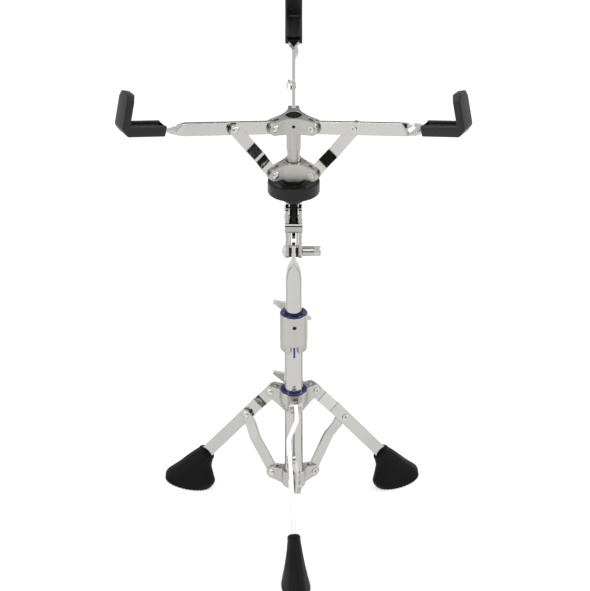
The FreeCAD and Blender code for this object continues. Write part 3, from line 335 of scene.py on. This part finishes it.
def clawGrid(size, pivotRadius, pivotHeight, degrees):
    # A U-shaped section carried along an L: at each row eight corners, each an arc between two
    # directions (corner less start times r(1 - sin), plus end times r(1 - cos)). The end rows shrink by
    # edge(1 - sin) while they move on by edge times cos, which rounds the ends. Seen along the arm, the
    # upright's shoulders are slanted: half the width less the inset times the share of the drop.
    outside, lips, floor = clawLines(size)
    count = size["endRows"]
    angle = np.linspace(0, np.pi / 2, count)
    still = np.zeros(size["rows"])
    inset = size["edge"] * np.concatenate([1 - np.sin(angle), still, 1 - np.sin(angle[::-1])])
    shift = size["edge"] * np.concatenate([-np.cos(angle), still, np.cos(angle[::-1])])
    last = np.full(count, size["rows"] - 1)
    index = np.concatenate([np.zeros(count, int), np.arange(size["rows"]), last])
    outside, lips, floor = outside[index], lips[index], floor[index]
    across = lips - outside
    depth = np.linalg.norm(across, axis=1)
    across = across / depth[:, None]
    run = np.stack([across[:, 1], -across[:, 0]], -1)  # onwards along the L
    outside = outside + run * shift[:, None]
    gap = np.einsum("ij,ij->i", floor - lips, across) + depth
    over = np.clip(1 - (size["height"] - lips[:, 1] - shift) / size["topDrop"], 0, 1)
    half = size["halfWidth"] - inset - size["topInset"] * over
    groove = np.minimum(size["grooveHalf"] + inset, half - size["edge"])
    foot, crest = inset, depth - inset
    bed = np.minimum(gap - inset, crest)
    hollow = np.clip((crest - bed) / 2, 0.0, size["grooveEdge"])
    edge = np.full(len(index), size["edge"])
    corners = [
        (-half, foot, edge, (0, -1), (1, 0)), (half, foot, edge, (1, 0), (0, 1)),
        (half, crest, edge, (0, 1), (-1, 0)), (groove, crest, hollow, (-1, 0), (0, -1)),
        (groove, bed, hollow, (0, -1), (-1, 0)), (-groove, bed, hollow, (-1, 0), (0, 1)),
        (-groove, crest, hollow, (0, 1), (-1, 0)), (-half, crest, edge, (-1, 0), (0, -1)),
    ]
    arc = np.linspace(0, np.pi / 2, size["arc"])[None, :]
    side, rise = [], []
    for y, q, r, before, after in corners:
        back, ahead = r[:, None] * (1 - np.sin(arc)), r[:, None] * (1 - np.cos(arc))
        side.append(y[:, None] - before[0] * back + after[0] * ahead)
        rise.append(q[:, None] - before[1] * back + after[1] * ahead)
    side, rise = np.concatenate(side, 1), np.concatenate(rise, 1)
    spot = outside[:, None, :] + across[:, None, :] * rise[..., None]
    lean = math.radians(size["rise"])
    radius = pivotRadius + spot[..., 0] * math.cos(lean) - spot[..., 1] * math.sin(lean)
    height = pivotHeight + spot[..., 0] * math.sin(lean) + spot[..., 1] * math.cos(lean)
    return swung(radius, side, height, degrees)


for number, degrees in enumerate(claw["turns"], 1):
    pivot = np.array(jointPlace[f"arm_{number}_fold"]) / mm
    grid = clawGrid(claw, math.hypot(pivot[0], pivot[1]), pivot[2], degrees)
    makePiece(f"rubberClaw_{number}", grid, materials["clawRubber"], f"arm_{number}", f"claw_{number}")
print("claws made")

# Rubber feet on the leg ends

foot = {
    "turns": (274.9, 34.9, 154.9), "lean": 38.8, "side": -10.4, "socketHeight": 54.8, "socketHalf": 9.7,
    "socketWidth": 6.9, "legWidth": 15.4, "legThickness": 5.2,
    # inner and outer edge outwards from the socket's middle, each with its height, then half the width
    "sections": ((-3.5, 33.0, 24.5, 45.0, 9.2), (-6.0, 21.5, 41.0, 28.0, 11.8),
                 (-8.8, 10.5, 59.2, 11.5, 14.6), (-1.5, 0.0, 59.8, 0.0, 17.6)),
    "rows": 90, "columns": 288, "soften": 15, "rim": 0.7, "rimHeight": 0.05, "rimSpread": 0.025,
    "scallops": 36, "scallopDepth": 1.1, "scallopHeight": 7.0,
    "ridges": 9, "ridgeDepth": 0.25, "ridgeRise": 5, "mouthDepth": 6.0, "mouthRows": 4,
    "soleRows": 14, "soleGroove": 1.0, "soleEnd": 0.02,
}


def ringRows(knots, count, window):
    # Straight runs between the knots, spaced by the way between the rings' middles, then a running mean.
    middle = (knots[:, :2] + knots[:, 2:4]) / 2
    way = np.concatenate([[0], np.cumsum(np.linalg.norm(np.diff(middle, axis=0), axis=1))])
    place = np.linspace(0, way[-1], count)
    return softened(np.stack([np.interp(place, way, column) for column in knots.T], -1), window)


def footGrid(size, pivotRadius, pivotHeight, degrees):
    # Rings between an inner and an outer point: middle plus half the span times cos, plus half width
    # times sin. A rim stands out at the mouth, a bell curve of the share, the lower edge is scalloped by
    # the absolute sine of half the scallops times the turn, and the mouth turns in round the leg.
    lean = math.radians(size["lean"])
    socket = (pivotHeight - size["socketHeight"]) / math.cos(lean)
    base = pivotRadius + socket * math.sin(lean)
    run, climb = size["socketHalf"] * math.cos(lean), size["socketHalf"] * math.sin(lean)
    first = (-run, size["socketHeight"] - climb, run, size["socketHeight"] + climb, size["socketWidth"])
    rings = ringRows(np.array([first, *size["sections"]]), size["rows"], size["soften"])
    share = np.linspace(0, 1, size["rows"])[:, None]
    turn = np.linspace(0, 2 * np.pi, size["columns"], endpoint=False)[None, :]
    wide, deep = np.cos(turn), np.sin(turn)
    middle = (rings[:, [0, 1]] + rings[:, [2, 3]]) / 2
    span = (rings[:, [2, 3]] - rings[:, [0, 1]]) / 2
    lower = ease((size["scallopHeight"] - rings[:, 1:2]) / size["scallopHeight"])
    bead = size["rim"] * np.exp(-((share - size["rimHeight"]) / size["rimSpread"]) ** 2)
    scallop = size["scallopDepth"] * lower * np.abs(np.sin(turn * size["scallops"] / 2))
    fadeIn = ease(share * size["ridgeRise"]) * (1 - lower)
    ridge = size["ridgeDepth"] * np.cos(turn * size["ridges"]) * fadeIn
    length = np.linalg.norm(span, axis=1)[:, None]
    grow = 1 + (bead - scallop + ridge * np.clip(wide, 0, 1)) / length
    broad = rings[:, 4:5] + bead - scallop + ridge * np.clip(wide, 0, 1)
    out = base + middle[:, :1] + span[:, :1] * wide * grow
    up = middle[:, 1:] + span[:, 1:] * wide * grow
    left = size["side"] + broad * deep
    # The mouth: the first ring narrows to the leg's own rectangle and goes down along it.
    square = np.maximum(np.abs(wide) / (size["legWidth"] / 2), np.abs(deep) / (size["legThickness"] / 2))
    legAlong, legAcross = wide / square, deep / square
    steps = np.linspace(0, 1, size["mouthRows"])[:, None]
    inAlong = size["socketHalf"] * wide * (1 - steps) + legAlong * steps
    inAcross = size["socketWidth"] * deep * (1 - steps) + legAcross * steps
    drop = np.concatenate([np.zeros((size["mouthRows"], 1)), [[size["mouthDepth"]]]])
    inAlong = np.concatenate([inAlong, inAlong[-1:]])
    inAcross = np.concatenate([inAcross, inAcross[-1:]])
    mouthOut = base + inAlong * math.cos(lean) + drop * math.sin(lean)
    mouthUp = size["socketHeight"] + inAlong * math.sin(lean) - drop * math.cos(lean)
    mouthLeft = size["side"] + inAcross
    # The sole: the last ring shrinks to its middle with shallow ring grooves.
    fade = np.linspace(1, size["soleEnd"], size["soleRows"])[1:, None]
    groove = size["soleGroove"] * (np.arange(size["soleRows"] - 1)[:, None] % 2)
    centre = base + middle[-1, 0]
    soleOut = centre + (out[-1:] - centre) * fade
    soleLeft = size["side"] + (left[-1:] - size["side"]) * fade
    soleUp = np.broadcast_to(groove, soleOut.shape)
    radius = np.concatenate([mouthOut[::-1][:-1], out, soleOut])
    side = np.concatenate([mouthLeft[::-1][:-1], left, soleLeft])
    height = np.concatenate([mouthUp[::-1][:-1], up, soleUp])
    return swung(radius, side, np.maximum(height, 0), degrees)


for number, degrees in enumerate(foot["turns"], 1):
    pivot = np.array(jointPlace[f"leg_{number}_fold"]) / mm
    grid = footGrid(foot, math.hypot(pivot[0], pivot[1]), pivot[2], degrees)
    makePiece(f"rubberFoot_{number}", grid, materials["rubber"], f"leg_{number}", f"foot_{number}")
print("feet made")

# Threaded rod of the basket

thread = {"radius": 5.0, "depth": 0.75, "pitch": 1.5, "perTurn": 8, "columns": 32}


def threadGrid(size, low, high):
    # Radius less the depth times a triangle wave of height over pitch, less the turn: one start,
    # right handed.
    count = int((high - low) / size["pitch"] * size["perTurn"]) + 1
    height = np.linspace(low, high, count)[:, None]
    turn = np.linspace(0, 2 * np.pi, size["columns"], endpoint=False)[None, :]
    phase = (height / size["pitch"] - turn / (2 * np.pi)) % 1
    radius = size["radius"] - size["depth"] * (1 - np.abs(2 * phase - 1))
    x, y = radius * np.cos(turn), radius * np.sin(turn)
    return np.stack(np.broadcast_arrays(x, y, height), -1)


rodLow, rodHigh = (corner.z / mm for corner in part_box("basket_rod"))
rodGrid = threadGrid(thread, rodLow, rodHigh)
makePiece("threadedRod", rodGrid, materials["black_steel"], "basket", "basket_rod")
print("rod made")

# Floor, light and camera

studio = {"floorSize": 12.0, "floorColour": 0.55, "floorGlow": 0.56, "skyDiffuse": 0.72}


def buildFloor():
    half = studio["floorSize"] / 2
    mesh = bpy.data.meshes.new("floor")
    corners = [(-half, -half, 0), (half, -half, 0), (half, half, 0), (-half, half, 0)]
    mesh.from_pydata(corners, [], [(0, 1, 2, 3)])
    floor = bpy.data.objects.new("floor", mesh)
    bpy.context.scene.collection.objects.link(floor)
    paint = bpy.data.materials.new("paleFloor")
    paint.use_nodes = True
    tree = paint.node_tree
    shader = tree.nodes["Principled BSDF"]
    shader.inputs["Roughness"].default_value = 1.0
    shader.inputs["Specular IOR Level"].default_value = 0.0
    level = studio["floorColour"]
    shader.inputs["Base Color"].default_value = (level, level, level, 1)
    shader.inputs["Emission Color"].default_value = (1, 1, 1, 1)
    seen = seenRays(tree)
    glow = addNode(tree, "ShaderNodeMath", {0: seen, 1: studio["floorGlow"]}, operation="MULTIPLY")
    tree.links.new(glow.outputs[0], shader.inputs["Emission Strength"])
    mesh.materials.append(paint)


def seenRays(tree):
    # One for rays from the camera or from a mirror or glass, else zero.
    path = addNode(tree, "ShaderNodeLightPath")
    first = addNode(tree, "ShaderNodeMath", {
        0: path.outputs["Is Camera Ray"], 1: path.outputs["Is Glossy Ray"]}, operation="MAXIMUM")
    return addNode(tree, "ShaderNodeMath", {
        0: first.outputs[0], 1: path.outputs["Is Transmission Ray"]}, operation="MAXIMUM").outputs[0]


def buildSky():
    world = bpy.data.worlds.new("studio")
    bpy.context.scene.world = world
    world.use_nodes = True
    tree = world.node_tree
    sky = tree.nodes["Background"]
    sky.inputs["Color"].default_value = (1, 1, 1, 1)
    level = addNode(tree, "ShaderNodeMapRange", {
        "Value": seenRays(tree), "To Min": studio["skyDiffuse"], "To Max": 1.0})
    tree.links.new(level.outputs["Result"], sky.inputs["Strength"])


# Cards that only mirrors see: dark, grey and light parts of the room, and grey strips on the floor
cards = (
    {"name": "frontCard", "level": 0.02, "corners": (
        (-1.3, -1.25, 0.4), (-0.4, -1.25, 0.4), (-0.4, -1.25, 0.95), (-1.3, -1.25, 0.95))},
    {"name": "middleCard", "level": 0.04, "corners": (
        (-0.4, -1.25, 0.3), (0.4, -1.25, 0.3), (0.4, -1.25, 1.0), (-0.4, -1.25, 1.0))},
    {"name": "frontPatch", "level": 0.02, "corners": (
        (0.9, -0.8, 0.003), (1.7, -0.8, 0.003), (1.7, -1.6, 0.003), (0.9, -1.6, 0.003))},
    {"name": "backCard", "level": 0.12, "corners": (
        (-1.3, 2.5, 0.9), (1.3, 2.5, 0.9), (1.3, 2.5, 1.6), (-1.3, 2.5, 1.6))},
    {"name": "upperCard", "level": 0.6, "corners": (
        (-1.6, 2.5, 1.6), (1.6, 2.5, 1.6), (1.6, 2.5, 2.9), (-1.6, 2.5, 2.9))},
    {"name": "lightCard", "level": 0.1, "glow": 1.25, "corners": (
        (0.7, -1.5, 0.12), (1.9, -1.5, 0.12), (1.9, -1.5, 0.75), (0.7, -1.5, 0.75))},
    {"name": "leftStrip", "level": 0.5, "corners": (
        (-0.15, 0.04, 0.002), (-1.5, 0.4, 0.002), (-1.5, 0.85, 0.002), (-0.15, 0.09, 0.002))},
    {"name": "rightStrip", "level": 0.5, "corners": (
        (0.15, 0.04, 0.002), (1.5, 0.4, 0.002), (1.5, 0.85, 0.002), (0.15, 0.09, 0.002))},
)


def buildCard(row):
    mesh = bpy.data.meshes.new(row["name"])
    mesh.from_pydata(row["corners"], [], [(0, 1, 2, 3)])
    paint = bpy.data.materials.new(row["name"])
    paint.use_nodes = True
    shader = paint.node_tree.nodes["Principled BSDF"]
    shader.inputs["Roughness"].default_value = 1.0
    shader.inputs["Specular IOR Level"].default_value = 0.0
    shader.inputs["Base Color"].default_value = (row["level"], row["level"], row["level"], 1)
    shader.inputs["Emission Color"].default_value = (1, 1, 1, 1)
    shader.inputs["Emission Strength"].default_value = row.get("glow", 0.0)
    mesh.materials.append(paint)
    card = bpy.data.objects.new(row["name"], mesh)
    bpy.context.scene.collection.objects.link(card)
    card.visible_camera = card.visible_diffuse = card.visible_shadow = card.visible_transmission = False


lamps = (
    {"name": "frontBox", "azimuth": -92, "elevation": 52, "distance": 2.4,
     "size": (1.9, 1.27), "power": 11.0},
    {"name": "leftBox", "azimuth": 195, "elevation": 40, "distance": 2.2,
     "size": (0.9, 1.6), "power": 17.0},
    {"name": "rightBox", "azimuth": 15, "elevation": 35, "distance": 2.4,
     "size": (0.8, 1.4), "power": 20.0},
)


def aimed(item, place, target):
    item.location = place
    heading = (target[0] - place[0], target[1] - place[1], target[2] - place[2])
    flat = math.hypot(heading[0], heading[1])
    tip, turn = math.pi / 2 + math.atan2(heading[2], flat), math.atan2(-heading[0], heading[1])
    item.rotation_euler = (tip, 0, turn)


def around(target, azimuth, elevation, distance):
    a, e = math.radians(azimuth), math.radians(elevation)
    flat = distance * math.cos(e)
    out = (flat * math.cos(a), flat * math.sin(a), distance * math.sin(e))
    return (target[0] + out[0], target[1] + out[1], target[2] + out[2])


lampTarget = (0, 0, 0.3)
for lamp in lamps:
    data = bpy.data.lights.new(lamp["name"], "AREA")
    data.shape = "RECTANGLE"
    data.size, data.size_y = lamp["size"]
    data.energy = lamp["power"]
    item = bpy.data.objects.new(lamp["name"], data)
    bpy.context.scene.collection.objects.link(item)
    aimed(item, around(lampTarget, lamp["azimuth"], lamp["elevation"], lamp["distance"]), lampTarget)
buildFloor()
buildSky()
for row in cards:
    buildCard(row)

view = {"target": (0.00149, 0, 0.30566), "distance": 2.8336, "elevation": 28.7, "azimuth": -90,
        "lens": 148.79, "sensor": 36, "reach": 50}
eye = bpy.data.cameras.new("camera")
eye.sensor_width = view["sensor"]
eye.lens = view["lens"]
eye.clip_end = view["reach"]
camera = bpy.data.objects.new("camera", eye)
bpy.context.scene.collection.objects.link(camera)
seat = around(view["target"], view["azimuth"], view["elevation"], view["distance"])
aimed(camera, seat, view["target"])
bpy.context.scene.camera = camera
bpy.context.scene.view_settings.view_transform = "Standard"
print("stage set")
